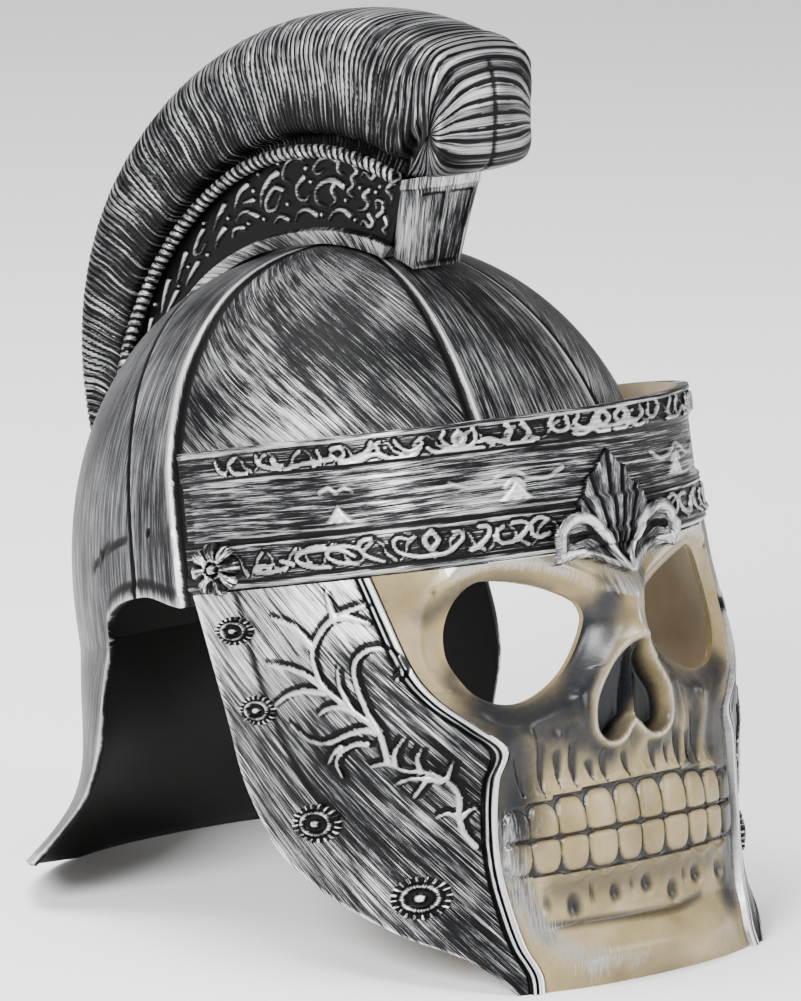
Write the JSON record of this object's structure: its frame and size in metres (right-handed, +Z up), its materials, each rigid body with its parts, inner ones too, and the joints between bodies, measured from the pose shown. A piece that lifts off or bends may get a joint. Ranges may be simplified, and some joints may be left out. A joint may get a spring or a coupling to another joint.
{
  "type": "costume gladiator helmet with skull face mask",
  "caption": "Moulded gladiator helmet with a tall arched brush crest, a flared neck guard, ornamented cheek guards and brow band, and an open-eyed skull face mask.",
  "frame": {"origin": "middle of the helmet's footprint on the surface that it stands on", "axes": "+Z up, the face looks along -Y, +X to the wearer's left; the helmet leans back 13 degrees on its jaw and neck guard"},
  "size_m": [0.2382, 0.3294, 0.3529],
  "materials": {
    "antique_silver": "silver brushed over black, worn at the recesses",
    "bone": "tan with a blue-grey wash in the hollows",
    "dark_filigree": "black with silver on the raised scrolls",
    "brush": "silver on the raised locks, black between them"
  },
  "bodies": {
    "root": {"helmet_bowl": "antique_silver", "crest_base": "dark_filigree", "crest_bracket": "antique_silver", "crest_plume": "brush", "crest_rope_left": "antique_silver", "crest_rope_right": "antique_silver", "brow_band": "antique_silver", "brow_fan": "antique_silver", "skull_face": "bone", "cheek_guard_left": "antique_silver", "cheek_guard_right": "antique_silver", "temple_rosette_left": "antique_silver", "temple_rosette_right": "antique_silver", "cheek_boss_left_1": "antique_silver", "cheek_boss_left_2": "antique_silver", "cheek_boss_left_3": "antique_silver", "cheek_boss_left_4": "antique_silver", "cheek_boss_right_1": "antique_silver", "cheek_boss_right_2": "antique_silver", "cheek_boss_right_3": "antique_silver", "cheek_boss_right_4": "antique_silver"}
  },
  "joints": []
}
